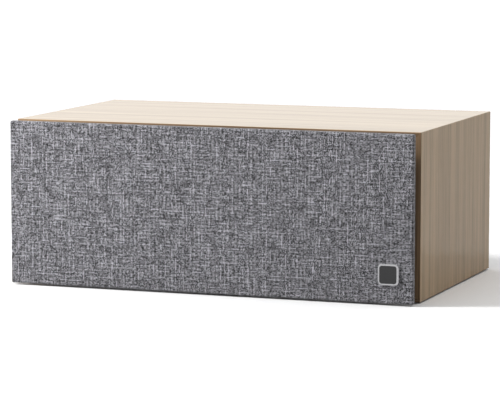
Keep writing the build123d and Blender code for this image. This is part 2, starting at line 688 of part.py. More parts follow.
def woofers():
    """Every piece of both woofers."""
    pieces = {
        "woofer_basket": woofer_basket(),
        "woofer_gasket": woofer_gasket(),
        "woofer_surround": woofer_surround(),
        "woofer_cone": woofer_cone(),
        "woofer_dust_cap": dust_cap(),
        "woofer_voice_coil": woofer_voice_coil(),
        "woofer_spider": woofer_spider(),
        "woofer_top_plate": woofer_top_plate(),
        "woofer_magnet": woofer_magnet(),
        "woofer_yoke": woofer_yoke(),
    }
    sides = woofer_places().items()
    return {f"{side}_{name}": place * piece for side, place in sides for name, piece in pieces.items()}


# Tweeter


def tweeter_faceplate():
    """Moulded plate with a shallow flared horn, and a step behind that clamps the dome's lip."""
    throat = (THROAT_RADIUS, TWEETER_PLATE_THICKNESS - HORN_LIP)
    mouth = (HORN_RADIUS, 0)
    middle = ((THROAT_RADIUS + HORN_RADIUS) / 2 - HORN_LIP, throat[1] / 2 - HORN_LIP)
    step_radius = DOME_LIP_RADIUS + FIT
    plate_back = TWEETER_PLATE_THICKNESS
    body = turned_profile(
        ThreePointArc(mouth, middle, throat),
        Line(throat, (THROAT_RADIUS, plate_back)),
        Line((THROAT_RADIUS, plate_back), (step_radius, plate_back)),
        Line((step_radius, plate_back), (step_radius, TWEETER_SPACER_BACK)),
        Line((step_radius, TWEETER_SPACER_BACK), (TWEETER_TOP_PLATE_RADIUS, TWEETER_SPACER_BACK)),
        Line((TWEETER_TOP_PLATE_RADIUS, TWEETER_SPACER_BACK), (TWEETER_TOP_PLATE_RADIUS, plate_back)),
        Line((TWEETER_TOP_PLATE_RADIUS, plate_back), (TWEETER_RADIUS, plate_back)),
        Line((TWEETER_RADIUS, plate_back), (TWEETER_RADIUS, 0)),
        Line((TWEETER_RADIUS, 0), mouth),
    )
    return body - [spot * screw_seat() for spot in tweeter_screw_places()]


def tweeter_dome():
    """Silk dome with its half-roll surround and flat lip, formed as one sheet."""
    front = TWEETER_PLATE_THICKNESS
    back = TWEETER_SPACER_BACK
    middle = DOME_RADIUS + DOME_ROLL_WIDTH / 2
    arc = DOME_ROLL_WIDTH / 2
    inner_arc = arc - DOME_THICKNESS
    reach = sqrt(arc**2 - DOME_THICKNESS**2)
    valley = middle - reach
    sphere = (valley**2 + DOME_HEIGHT**2) / (2 * DOME_HEIGHT)
    sag = DOME_HEIGHT - sphere + sqrt(sphere**2 - (valley / 2) ** 2)
    return turned_profile(
        ThreePointArc((0, front - DOME_HEIGHT), (valley / 2, front - sag), (valley, front)),
        ThreePointArc((valley, front), (middle, back - arc), (middle + reach, front)),
        Line((middle + reach, front), (DOME_LIP_RADIUS, front)),
        Line((DOME_LIP_RADIUS, front), (DOME_LIP_RADIUS, back)),
        Line((DOME_LIP_RADIUS, back), (middle + inner_arc, back)),
        ThreePointArc((middle + inner_arc, back), (middle, back - inner_arc), (middle - inner_arc, back)),
        Line((middle - inner_arc, back), (valley, back)),
        ThreePointArc((valley, back), (valley / 2, back - sag), (0, back - DOME_HEIGHT)),
        Line((0, back - DOME_HEIGHT), (0, front - DOME_HEIGHT)),
    )


def tweeter_voice_coil():
    """Short winding behind the dome's edge."""
    back = TWEETER_SPACER_BACK + TWEETER_COIL_LENGTH
    return ring(TWEETER_COIL_INNER, TWEETER_COIL_OUTER, TWEETER_SPACER_BACK, back)


def tweeter_top_plate():
    """Steel ring round the tweeter's coil."""
    hole = TWEETER_COIL_OUTER + COIL_CLEARANCE
    return ring(hole, TWEETER_TOP_PLATE_RADIUS, TWEETER_SPACER_BACK, TWEETER_TOP_BACK)


def tweeter_magnet():
    """Ferrite ring of the tweeter."""
    return ring(TWEETER_MAGNET_HOLE_RADIUS, TWEETER_MAGNET_RADIUS, TWEETER_TOP_BACK, TWEETER_MAGNET_BACK)


def tweeter_yoke():
    """Steel back plate with a solid pole."""
    pole = TWEETER_COIL_INNER - COIL_CLEARANCE
    pole_front = TWEETER_SPACER_BACK + COIL_CLEARANCE
    return turned(
        (0, pole_front),
        (pole, pole_front),
        (pole, TWEETER_MAGNET_BACK),
        (TWEETER_TOP_PLATE_RADIUS, TWEETER_MAGNET_BACK),
        (TWEETER_TOP_PLATE_RADIUS, TWEETER_BACK),
        (0, TWEETER_BACK),
    )


def screws():
    """Screws of both woofers, the tweeter and the terminal cup."""
    places = tweeter_screw_places() + cup_screw_places()
    for place in woofer_places().values():
        places += [place * spot for spot in woofer_screw_places()]
    return group([place * screw() for place in places])


# Back


def port_tube():
    """Moulded reflex tube with a flared mouth and a flange on the rear panel."""
    flare_start = REAR_FACE - PORT_FLARE
    inside_end = REAR_FACE - PORT_LENGTH
    tube_radius = PORT_RADIUS + PORT_WALL
    flange_radius = PORT_COLLAR_RADIUS + PORT_FLANGE_WIDTH
    swing = PORT_FLARE * (1 - sqrt(0.5))
    flare_middle = (PORT_RADIUS + swing, REAR_FACE - swing)
    body = turned_profile(
        Line((PORT_RADIUS, inside_end), (PORT_RADIUS, flare_start)),
        ThreePointArc((PORT_RADIUS, flare_start), flare_middle, (PORT_MOUTH_RADIUS, REAR_FACE)),
        Line((PORT_MOUTH_RADIUS, REAR_FACE), (flange_radius, REAR_FACE)),
        Line((flange_radius, REAR_FACE), (flange_radius, CABINET_DEPTH)),
        Line((flange_radius, CABINET_DEPTH), (PORT_COLLAR_RADIUS, CABINET_DEPTH)),
        Line((PORT_COLLAR_RADIUS, CABINET_DEPTH), (PORT_COLLAR_RADIUS, REAR_INSIDE)),
        Line((PORT_COLLAR_RADIUS, REAR_INSIDE), (tube_radius, REAR_INSIDE)),
        Line((tube_radius, REAR_INSIDE), (tube_radius, inside_end)),
        Line((tube_radius, inside_end), (PORT_RADIUS, inside_end)),
    )
    return Pos(PORT_X, 0, 0) * body


def cup_outline(inset):
    """Rounded rectangle of the terminal cup's outside, set in or out."""
    return RectangleRounded(CUP_WIDTH - 2 * inset, CUP_HEIGHT - 2 * inset, CUP_CORNER_RADIUS - inset)


def terminal_cup():
    """Moulded recess in the rear panel, with a flange outside and two holes in its floor."""
    cup = plate(cup_outline(-CUP_FLANGE_WIDTH), CABINET_DEPTH, REAR_FACE)
    cup += plate(cup_outline(0), CUP_BACK, CABINET_DEPTH)
    cup -= plate(cup_outline(CUP_WALL), CUP_FLOOR, REAR_FACE)
    cup -= [rod(POST_TAIL_RADIUS + FIT, CUP_BACK, CUP_FLOOR, x) for x in POST_PLACES.values()]
    return cup - [place * screw_seat() for place in cup_screw_places()]


def terminal_post(x):
    """Turned post with a collar on the cup's floor, a plug socket in its end and a cross hole for wire."""
    bore_end = POST_BACK - POST_BORE_LENGTH
    post = turned(
        (0, POST_TAIL_END),
        (POST_TAIL_RADIUS, POST_TAIL_END),
        (POST_TAIL_RADIUS, CUP_FLOOR),
        (POST_COLLAR_RADIUS, CUP_FLOOR),
        (POST_COLLAR_RADIUS, COLLAR_BACK),
        (POST_RADIUS, COLLAR_BACK),
        (POST_RADIUS, POST_BACK),
        (POST_BORE_RADIUS, POST_BACK),
        (POST_BORE_RADIUS, bore_end),
        (0, bore_end),
    )
    wire_hole = Cylinder(POST_WIRE_HOLE_RADIUS, 2 * POST_COLLAR_RADIUS)
    wire_hole_y = COLLAR_BACK + POST_WIRE_HOLE_MARGIN + POST_WIRE_HOLE_RADIUS
    return Pos(x, 0, 0) * (post - Pos(0, wire_hole_y, 0) * wire_hole)


def terminal_nuts():
    """Hexagon nuts that hold the posts inside the cabinet."""
    nut = RegularPolygon(NUT_RADIUS, 6) - Circle(POST_TAIL_RADIUS + FIT)
    front = CUP_BACK - NUT_THICKNESS
    return group([plate(Pos(x, 0) * nut, front, CUP_BACK) for x in POST_PLACES.values()])


def clamp_ring(x):
    """Plain ring between the collar and the cap, which grips bare wire."""
    return Pos(x, 0, 0) * ring(POST_RADIUS + SLIDE_FIT, POST_COLLAR_RADIUS, COLLAR_BACK, RING_BACK)


def terminal_cap(x):
    """Fluted cap screwed on the post."""
    back = RING_BACK + CAP_LENGTH
    bore = POST_RADIUS + SLIDE_FIT
    cap = turned(
        (bore, RING_BACK),
        (CAP_RADIUS, RING_BACK),
        (CAP_RADIUS, back - CAP_EDGE),
        (CAP_RADIUS - CAP_EDGE, back),
        (bore, back),
    )
    flute = rod(CAP_FLUTE_RADIUS, RING_BACK, back, CAP_RADIUS)
    return Pos(x, 0, 0) * (cap - around(flute, CAP_FLUTES))


def terminals():
    """Posts, clamp rings and caps of both poles."""
    pieces = {}
    for pole, x in POST_PLACES.items():
        pieces[f"{pole}_post"] = terminal_post(x)
        pieces[f"{pole}_clamp_ring"] = clamp_ring(x)
        pieces[f"{pole}_cap"] = terminal_cap(x)
    return pieces


# Inside


def board_corner(x_side, y_side, inset):
    """Point on the crossover board, set in from one of its corners."""
    return (
        BOARD_X + x_side * (BOARD_LENGTH / 2 - inset),
        BOARD_Y + y_side * (BOARD_WIDTH / 2 - inset),
    )


def crossover_board():
    """Bare board of the crossover on four stand-offs."""
    outline = Pos(BOARD_X, BOARD_Y) * Rectangle(BOARD_LENGTH, BOARD_WIDTH)
    return upright(outline, BOARD_BOTTOM, BOARD_THICKNESS)


def board_standoffs():
    """Spacers between the bottom panel and the crossover board."""
    corners = [board_corner(x, y, STANDOFF_INSET) for x in (-1, 1) for y in (-1, 1)]
    outlines = [Pos(*spot) * Circle(STANDOFF_RADIUS) for spot in corners]
    return group([upright(outline, FLOOR_Z, STANDOFF_HEIGHT) for outline in outlines])


def crossover_parts():
    """Coils at the board's outer end, capacitors and a resistor beside them."""
    woofer_spot = board_corner(-1, -1, WOOFER_COIL_RADIUS)
    tweeter_spot = board_corner(-1, 1, TWEETER_COIL_RADIUS)
    capacitor = Rot(90, 0, 0) * Cylinder(CAPACITOR_RADIUS, CAPACITOR_LENGTH)
    coil_edge = BOARD_X - BOARD_LENGTH / 2 + 2 * WOOFER_COIL_RADIUS
    first_x = coil_edge + COMPONENT_GAP + CAPACITOR_RADIUS
    second_x = first_x + 2 * CAPACITOR_RADIUS + COMPONENT_GAP
    capacitor_y = BOARD_Y - BOARD_WIDTH / 2 + COMPONENT_GAP + CAPACITOR_LENGTH / 2
    capacitor_z = BOARD_TOP + CAPACITOR_RADIUS
    resistor_y = BOARD_Y + BOARD_WIDTH / 2 - COMPONENT_GAP - RESISTOR_LENGTH / 2
    resistor = Pos(first_x, resistor_y) * Rectangle(RESISTOR_SIZE, RESISTOR_LENGTH)
    capacitor_places = [Pos(x, capacitor_y, capacitor_z) for x in (first_x, second_x)]
    woofer_coil = Circle(WOOFER_COIL_RADIUS) - Circle(WOOFER_COIL_HOLE_RADIUS)
    tweeter_coil = Circle(TWEETER_COIL_RADIUS) - Circle(TWEETER_COIL_HOLE_RADIUS)
    return {
        "woofer_inductor": upright(Pos(*woofer_spot) * woofer_coil, BOARD_TOP, WOOFER_COIL_HEIGHT),
        "tweeter_inductor": upright(Pos(*tweeter_spot) * tweeter_coil, BOARD_TOP, TWEETER_COIL_HEIGHT),
        "crossover_capacitors": group([place * capacitor for place in capacitor_places]),
        "crossover_resistor": upright(resistor, BOARD_TOP, RESISTOR_SIZE),
    }


def driver_terminals():
    """Solder tabs on the back of each basket's seat and on the tweeter's yoke."""
    woofer_tab = Pos(0, SEAT_BACK + TAB_THICKNESS / 2, TAB_SEAT - BASKET_SEAT_RADIUS - TAB_HEIGHT / 2) * Box(
        TAB_WIDTH, TAB_THICKNESS, TAB_HEIGHT
    )
    tweeter_tab = Pos(0, TWEETER_BACK + TAB_THICKNESS / 2, tweeter_tab_height()) * Box(
        TAB_WIDTH, TAB_THICKNESS, TAB_HEIGHT
    )
    return group([place * woofer_tab for place in woofer_places().values()] + [tweeter_tab])


def tweeter_tab_height():
    """Height of the tweeter's tab, low on its back plate."""
    return TAB_HEIGHT - TWEETER_TOP_PLATE_RADIUS


def lead(*points):
    """Round lead along straight runs and bends."""
    path = FilletPolyline(*points, radius=LEAD_BEND)
    return sweep(Plane(path @ 0, z_dir=path % 0) * Circle(LEAD_RADIUS), path)


def wiring():
    """Leads from the terminals to the crossover, and from there to each driver."""
    start_x, front_y = board_corner(1, -1, COMPONENT_GAP)
    low = -BASKET_SEAT_RADIUS + TAB_SEAT - TAB_HEIGHT + 2 * LEAD_RADIUS
    tab_back = SEAT_BACK + TAB_THICKNESS
    crossing_y = WOOFER_BACK + BOARD_SETBACK / 2
    window_low = FLOOR_Z + BRACE_RIM + LEAD_SPACING
    window_mid = tweeter_tab_height()
    rows = [front_y + BASKET_BAND + step * LEAD_SPACING for step in range(6)]
    left = lead(
        (start_x, rows[0], BOARD_TOP),
        (start_x, rows[0], low),
        (start_x, crossing_y, low),
        (-WOOFER_OFFSET, crossing_y, low),
        (-WOOFER_OFFSET, tab_back, low),
    )
    right = lead(
        (start_x, rows[1], BOARD_TOP),
        (start_x, rows[1], window_low),
        (WOOFER_OFFSET, rows[1], window_low),
        (WOOFER_OFFSET, crossing_y, low),
        (WOOFER_OFFSET, tab_back, low),
    )
    tweeter = lead(
        (start_x, rows[2], BOARD_TOP),
        (start_x, rows[2], window_mid),
        (0, rows[2], window_mid),
        (0, TWEETER_BACK + TAB_THICKNESS, window_mid),
    )
    poles = [
        lead(
            (start_x, row, BOARD_TOP),
            (start_x, row, height),
            (x, row, height),
            (x, row, 0),
            (x, POST_TAIL_END, 0),
        )
        for row, height, x in (
            (rows[4], window_mid, POST_PLACES["negative"]),
            (rows[5], window_low, POST_PLACES["positive"]),
        )
    ]
    return group([left, right, tweeter] + poles)


def damping_pads():
    """Soft pads on the inside of both side panels."""
    front = WOOFER_BACK
    back = REAR_INSIDE - DAMPING_MARGIN
    height = INNER_HEIGHT - 2 * DAMPING_MARGIN
    x = INNER_WIDTH / 2 - DAMPING_THICKNESS / 2
    outline = Rectangle(DAMPING_THICKNESS, height)
    return group([plate(Pos(side, 0) * outline, front, back) for side in (-x, x)])


def speaker():
    """Every piece by its node's name."""
    return {
        **carcass(),
        "front_baffle": front_baffle(),
        "rear_panel": rear_panel(),
        "left_brace": brace(-BRACE_X),
        "right_brace": brace(BRACE_X),
        "foot_pads": foot_pads(),
        "grille_frame": grille_frame(),
        "grille_cloth": grille_cloth(),
        "grille_pegs": grille_pegs(),
        "grille_sockets": grille_sockets(),
        "badge_rim": badge_rim(),
        "badge_inlay": badge_inlay(),
        **woofers(),
        "tweeter_faceplate": tweeter_faceplate(),
        "tweeter_dome": tweeter_dome(),
        "tweeter_voice_coil": tweeter_voice_coil(),
        "tweeter_top_plate": tweeter_top_plate(),
        "tweeter_magnet": tweeter_magnet(),
        "tweeter_yoke": tweeter_yoke(),
        "screws": screws(),
        "port_tube": port_tube(),
        "terminal_cup": terminal_cup(),
        "terminal_nuts": terminal_nuts(),
        **terminals(),
        "crossover_board": crossover_board(),
        "board_standoffs": board_standoffs(),
        **crossover_parts(),
        "driver_terminals": driver_terminals(),
        "wiring": wiring(),
        "damping_pads": damping_pads(),
    }


to_part_frame = Pos(0, -(BADGE_FRONT + REAR_FACE) / 2, CABINET_HEIGHT / 2 + PAD_HEIGHT)
os.makedirs("parts", exist_ok=True)
for node, shape in speaker().items():
    export_step(to_part_frame * shape, f"parts/{node}.step")
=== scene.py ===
import json
import math

import bpy
import numpy as np
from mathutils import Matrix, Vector


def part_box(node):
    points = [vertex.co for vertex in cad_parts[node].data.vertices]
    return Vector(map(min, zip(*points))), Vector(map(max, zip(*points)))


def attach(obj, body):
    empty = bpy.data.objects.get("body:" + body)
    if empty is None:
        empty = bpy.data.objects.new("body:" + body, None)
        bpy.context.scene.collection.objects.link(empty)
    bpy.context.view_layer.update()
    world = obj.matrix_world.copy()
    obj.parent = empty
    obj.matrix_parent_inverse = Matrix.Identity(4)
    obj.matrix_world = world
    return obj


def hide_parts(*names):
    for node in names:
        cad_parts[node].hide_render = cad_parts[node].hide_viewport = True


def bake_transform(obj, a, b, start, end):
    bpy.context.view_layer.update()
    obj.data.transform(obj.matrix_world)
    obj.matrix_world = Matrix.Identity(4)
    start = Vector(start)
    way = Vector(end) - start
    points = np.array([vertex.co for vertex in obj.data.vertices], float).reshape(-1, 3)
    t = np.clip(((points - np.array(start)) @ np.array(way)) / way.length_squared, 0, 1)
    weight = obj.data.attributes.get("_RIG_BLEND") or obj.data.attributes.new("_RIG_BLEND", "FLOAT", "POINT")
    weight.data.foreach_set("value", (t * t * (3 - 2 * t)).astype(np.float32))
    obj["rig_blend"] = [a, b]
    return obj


# Dresses the centre channel loudspeaker in metres, in the part's own frame: -y is the grille's side.

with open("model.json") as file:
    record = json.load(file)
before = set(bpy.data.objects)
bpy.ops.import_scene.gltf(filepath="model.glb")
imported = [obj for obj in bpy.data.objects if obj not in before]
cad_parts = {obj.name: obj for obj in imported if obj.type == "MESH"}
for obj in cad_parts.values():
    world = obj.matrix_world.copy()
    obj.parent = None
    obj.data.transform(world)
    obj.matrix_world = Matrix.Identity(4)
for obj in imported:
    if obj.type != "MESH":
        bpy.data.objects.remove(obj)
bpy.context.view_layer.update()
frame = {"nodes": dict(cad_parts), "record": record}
nodes = frame["nodes"]

# Camera, fitted to the photograph's edges
CAMERA_PLACE = (1.0980, -2.9727, 0.4702)
CAMERA_YAW = math.radians(-20.36)
CAMERA_PITCH = math.radians(6.85)
CAMERA_LENS = 198.5

# Light: a key from the left, a small panel near the left end, and a room that is bright behind and overhead
KEY_DIRECTION = Vector((-2.69, -1.0, 1.64)).normalized()
KEY_SPREAD = math.radians(10)
KEY_STRENGTH = 2.5
FILL_PLACE = Vector((-0.8, -0.6, 0.45))
FILL_SIZE = 0.4
FILL_POWER = 4.4
FRONT_LIGHT = 0.12
BACK_LIGHT = 0.58
BACK_START = -0.2
BACK_END = 0.6
OVERHEAD_LIGHT = 1.2
OVERHEAD_START = 0.6
WHITE = (1.0, 1.0, 1.0, 1.0)
FLOOR_SIZE = 30.0
FLOOR_BOUNCE = (0.3, 0.3, 0.3, 1.0)

# Cloth as a sheet
CLOTH_THICKNESS = 0.0008
CLOTH_CORNER_RADIUS = 0.002
CLOTH_EDGE_RADIUS = 0.0015
HEM_WIDTH = 0.014
HEM_CORNER_RADIUS = 0.0005
CORNER_STEPS = 8
EDGE_STEPS = 6

# Noise: its middle, and the span that it seldom leaves
NOISE_MIDDLE = 0.5
NOISE_SPAN = (0.3, 0.7)

# Weave: pitch of the yarns, half a yarn in pitches, and every how many of them one is light
YARN_ACROSS = 0.00112
YARN_UP = 0.00100
HALF_YARN = 0.5
LIGHT_EVERY = 4

# Weave: changes in a metre, and yarns that a light one strays
DRIFTS = 8.0
SLUBS = 70.0
STRAYS = 12.0
STRAY_REACH = 3.0
FUZZ = 1500.0

# Weave: steps in the noise from yarn to yarn, and layers that keep the noise of both ways apart
SLUB_STEP = 7.31
STRAY_STEP = 0.17
WARP_LAYER = 0.0
WEFT_LAYER = 40.0
RISE_LAYER = 9.0

# Weave: what each effect adds to a yarn's lightness, and slubs between which a light yarn comes up
PLAIN_LEVEL = 0.25
KNOT_SHARE = 0.40
SLUB_SHARE = 0.55
LIGHT_SHARE = 0.22
LIGHT_SLUBS = (-0.15, 0.10)
# The relief's share is painted shade: low places of the weave darker, crowns lighter.
RELIEF_PAINTED_SHADE_SHARE = 0.15
FUZZ_SHARE = 0.15
PINHOLE_CHANCE = 0.22
PINHOLE_DEPTH = 0.36

# Weave: colours from pinhole to slub, surface, and how much the yarn underneath counts in the relief
YARN_DARK = (0.012, 0.012, 0.013)
YARN_GREY = (0.172, 0.169, 0.184)
YARN_PALE = (0.740, 0.729, 0.792)
YARN_RELIEF = 0.0006
UNDER_SHARE = 0.5
CLOTH_ROUGHNESS = 0.9
CLOTH_SHEEN = 0.3
SHEEN_ROUGHNESS = 0.5

# Veneer: changes in a metre along and across the grain, and what each adds to the tone
BANDS = (1.8, 55.0)
LINES = (3.5, 330.0)
PORES = (45.0, 1500.0)
GRAIN_ROUGHNESS = 0.65
BAND_SHARE = 0.55
LINE_SHARE = 0.45
PORE_SHARE = 0.10
PORE_SPAN = (0.60, 0.72)

# Veneer: tones and lines that are dark, plain and pale, and how far from the base colour they go
DARK_TONE = 0.32
PLAIN_TONE = 0.50
PALE_TONE = 0.68
DARK_CHANGE = 0.38
PALE_CHANGE = 0.30
DARK_LINE = 0.36
PALE_LINE = 0.64
EDGE_CHANGE = 0.4

# Veneer: flat boards, their top paler with a fainter figure as painted light, upright boards, cut edges
# darker partly as painted shade, and lacquer
# The top's paler, less saturated colour and fainter figure are painted light: the glare on the brightly lit
# top.
TOP_OAK_PAINTED_PALER = (0.612, 0.488, 0.345)
TOP_FIGURE_FADED_BY_PAINTED_LIGHT = 0.6
TOP_LACQUER = 0.9
SIDE_OAK = (0.620, 0.448, 0.278)
SIDE_FIGURE = 1.0
SIDE_LACQUER = 0.6
# Cut edges: partly their own darker tone, partly painted shade of the gap between grille and cabinet.
OAK_EDGE_PAINTED_SHADE = (0.39, 0.258, 0.155)
EDGE_BAND = 0.0003
WOOD_ROUGHNESS = (0.55, 0.45)
LACQUER_ROUGHNESS = 0.12
LACQUER_IOR = 1.2
GRAIN_RELIEF = 0.00004

# Moulded and metal surfaces: how much coarser the broad grain is, and how far the gloss changes
BROAD_GRAIN = 20
GLOSS_CHANGE = 0.1

# Treated cloth: painted shade in its grooves and painted light on its crowns, gloss of the crowns, and
# relief as a share of the pitch
GROOVE_PAINTED_SHADE = 0.6
CROWN_PAINTED_LIGHT = 1.2
CROWN_GLOSS = 0.8
TREATED_RELIEF = 0.25

# Fibres: their noise, how many lengths a clump has, share of the fibres in the tone, and change of shade
FIBRE_DETAIL = 6.0
FIBRE_ROUGHNESS = 0.75
CLUMP_LENGTHS = 10
FIBRE_SHARE = 0.7
FIBRE_CHANGE = 0.3

# Windings: painted shade between the turns, height from which the wire has its own colour, gloss and relief
WIRE_METAL = 0.9
WIRE_GAP_PAINTED_SHADE = 0.35
WIRE_FULL_HEIGHT = 0.5
WIRE_ROUGHNESS = (0.5, 0.28)
WIRE_RELIEF = 1 / 3

# Colours of the other materials
BLACK_PAINT = (0.010, 0.010, 0.011)
BLACK_RUBBER = (0.012, 0.012, 0.012)
BLACK_PLASTIC = (0.012, 0.012, 0.013)
BLACK_JACKET = (0.013, 0.013, 0.013)
BLACK_IRON = (0.016, 0.016, 0.017)
BLACK_SILK = (0.018, 0.018, 0.020)
DARK_GREY = (0.022, 0.022, 0.024)
FERRITE_GREY = (0.035, 0.035, 0.037)
CHROME = (0.40, 0.40, 0.41)
STEEL_GREY = (0.48, 0.48, 0.49)
GOLD = (0.80, 0.52, 0.16)
COPPER = (0.55, 0.22, 0.09)
FIBREBOARD = (0.20, 0.12, 0.06)
RESIN_YELLOW = (0.42, 0.25, 0.07)
FILM_ORANGE = (0.55, 0.24, 0.02)
RED = (0.42, 0.012, 0.012)
BOARD_GREEN = (0.012, 0.075, 0.025)
CEMENT_WHITE = (0.62, 0.61, 0.57)
WADDING_WHITE = (0.62, 0.62, 0.60)

# Places of a Mix node's two inputs and of its result, for each kind of data
MIX_SOCKETS = {"FLOAT": (2, 3, 0), "RGBA": (6, 7, 2)}

# Woofer suspension: radii where it starts to follow the cone, and where it moves with it
ROLL_RADII = (0.0575, 0.0475)
SPIDER_RADII = (0.0445, 0.0160)


# Node helpers


class Nodes:
    """Short calls that add nodes to a tree."""

    def __init__(self, tree):
        self.tree = tree

    def node(self, kind, **settings):
        """A new node of a kind, with its settings."""
        made = self.tree.nodes.new("ShaderNode" + kind)
        for name, value in settings.items():
            setattr(made, name, value)
        return made

    def feed(self, socket, value):
        """Joins another node's output to a socket, or sets the socket's own value."""
        if isinstance(value, bpy.types.NodeSocket):
            self.tree.links.new(value, socket)
        else:
            socket.default_value = value

    def math(self, operation, first, second=0.0, third=0.0):
        """Result of a sum on numbers or sockets."""
        made = self.node("Math", operation=operation)
        for socket, value in zip(made.inputs, (first, second, third)):
            self.feed(socket, value)
        return made.outputs[0]

    def object_place(self):
        """Place on the object, in metres."""
        return self.node("TexCoord").outputs["Object"]

    def stretched(self, place, scale):
        """A place scaled on each axis."""
        made = self.node("Mapping")
        self.feed(made.inputs["Vector"], place)
        self.feed(made.inputs["Scale"], scale)
        return made.outputs[0]

    def joined(self, x, y, z=0.0):
        """A place from three numbers."""
        made = self.node("CombineXYZ")
        for socket, value in zip(made.inputs, (x, y, z)):
            self.feed(socket, value)
        return made.outputs[0]

    def parted(self, place):
        """The three numbers of a place."""
        made = self.node("SeparateXYZ")
        self.feed(made.inputs[0], place)
        return made.outputs

    def noise(self, place, scale=1.0, detail=2.0, roughness=0.5):
        """Soft noise from 0 to 1."""
        made = self.node("TexNoise")
        self.feed(made.inputs["Vector"], place)
        self.feed(made.inputs["Scale"], scale)
        self.feed(made.inputs["Detail"], detail)
        self.feed(made.inputs["Roughness"], roughness)
        return made.outputs["Fac"]

    def ranged(self, value, low, high, to_low=0.0, to_high=1.0):
        """A value carried from one range to another, and held inside it."""
        made = self.node("MapRange")
        for socket, number in zip(made.inputs, (value, low, high, to_low, to_high)):
            self.feed(socket, number)
        return made.outputs["Result"]

    def ramp(self, value, *stops):
        """Colour from a value and (place, colour) stops."""
        made = self.node("ValToRGB")
        elements = made.color_ramp.elements
        while len(elements) < len(stops):
            elements.new(0.5)
        for element, (place, colour) in zip(elements, stops):
            element.position = place
            element.color = (*colour, 1.0)
        self.feed(made.inputs[0], value)
        return made.outputs["Color"]

    def mixed(self, kind, factor, first, second):
        """Blend from a first number or colour to a second one."""
        made = self.node("Mix", data_type=kind)
        first_place, second_place, result_place = MIX_SOCKETS[kind]
        self.feed(made.inputs["Factor"], factor)
        self.feed(made.inputs[first_place], first)
        self.feed(made.inputs[second_place], second)
        return made.outputs[result_place]

    def seen_directly(self):
        """1 for rays from the camera, a mirror or glass, and 0 for light that spreads."""
        path = self.node("LightPath")
        sharp = self.math("ADD", path.outputs["Is Camera Ray"], path.outputs["Is Glossy Ray"])
        return self.math("MINIMUM", self.math("ADD", sharp, path.outputs["Is Transmission Ray"]), 1.0)


class Shader(Nodes):
    """A material with one Principled surface."""

    def __init__(self, name, roughness=0.5, metallic=0.0):
        self.material = bpy.data.materials.new(name)
        self.material.use_nodes = True
        super().__init__(self.material.node_tree)
        self.surface = self.tree.nodes["Principled BSDF"]
        self.surface_takes(Roughness=roughness, Metallic=metallic)

    def surface_takes(self, **values):
        """Feeds the surface's sockets by name."""
        for name, value in values.items():
            self.feed(self.surface.inputs[name.replace("_", " ")], value)

    def bump(self, height, distance):
        """Relief on the surface from a height."""
        made = self.node("Bump")
        self.feed(made.inputs["Height"], height)
        self.feed(made.inputs["Distance"], distance)
        self.surface_takes(Normal=made.outputs[0])


def shade(colour, factor):
    """A colour made lighter or darker."""
    return tuple(channel * factor for channel in colour)


# Materials


def oak(name, base, figure, lacquer, grain_axis):
    """Lacquered oak veneer with its grain along one axis, and darker cut edges in front and behind, their
    brown partly their own tone and partly painted shade of the gap behind the grille.
    """
    shader = Shader(name)
    place = shader.object_place()

    def along_grain(along, across):
        """The place, drawn out along the grain."""
        scale = [across] * 3
        scale["xyz".index(grain_axis)] = along
        return shader.stretched(place, scale)

    bands = shader.noise(along_grain(*BANDS), detail=4.0, roughness=GRAIN_ROUGHNESS)
    lines = shader.noise(along_grain(*LINES), detail=3.0, roughness=GRAIN_ROUGHNESS)
    pores = shader.noise(along_grain(*PORES), detail=1.0)
    tone = shader.math("MULTIPLY_ADD", lines, LINE_SHARE, shader.math("MULTIPLY", bands, BAND_SHARE))
    pore_depth = shader.ranged(pores, *PORE_SPAN)
    tone = shader.math("SUBTRACT", tone, shader.math("MULTIPLY", pore_depth, PORE_SHARE))
    dark = shade(base, 1 - DARK_CHANGE * figure)
    pale = shade(base, 1 + PALE_CHANGE * figure)
    veneer = shader.ramp(tone, (DARK_TONE, dark), (PLAIN_TONE, base), (PALE_TONE, pale))
    # The cut edges' brown is partly their own tone and partly painted shade of the gap behind the grille.
    dark_line_on_shaded_edge = shade(OAK_EDGE_PAINTED_SHADE, 1 - EDGE_CHANGE)
    pale_line_on_shaded_edge = shade(OAK_EDGE_PAINTED_SHADE, 1 + EDGE_CHANGE)
    edge = shader.ramp(lines, (DARK_LINE, dark_line_on_shaded_edge), (PALE_LINE, pale_line_on_shaded_edge))
    depths = [corner[1] for corner in nodes["top_panel"].bound_box]
    front, back = min(depths), max(depths)
    from_middle = shader.math("SUBTRACT", shader.parted(place)[1], (front + back) / 2)
    cut_depth = (back - front) / 2 - EDGE_BAND
    cut = shader.math("GREATER_THAN", shader.math("ABSOLUTE", from_middle), cut_depth)
    shader.surface_takes(
        Base_Color=shader.mixed("RGBA", cut, veneer, edge),
        Roughness=shader.ranged(lines, *NOISE_SPAN, *WOOD_ROUGHNESS),
        Specular_IOR_Level=0.0,
        Coat_Weight=lacquer,
        Coat_Roughness=LACQUER_ROUGHNESS,
        Coat_IOR=LACQUER_IOR,
    )
    shader.bump(shader.math("SUBTRACT", lines, pore_depth), GRAIN_RELIEF)
    return shader.material


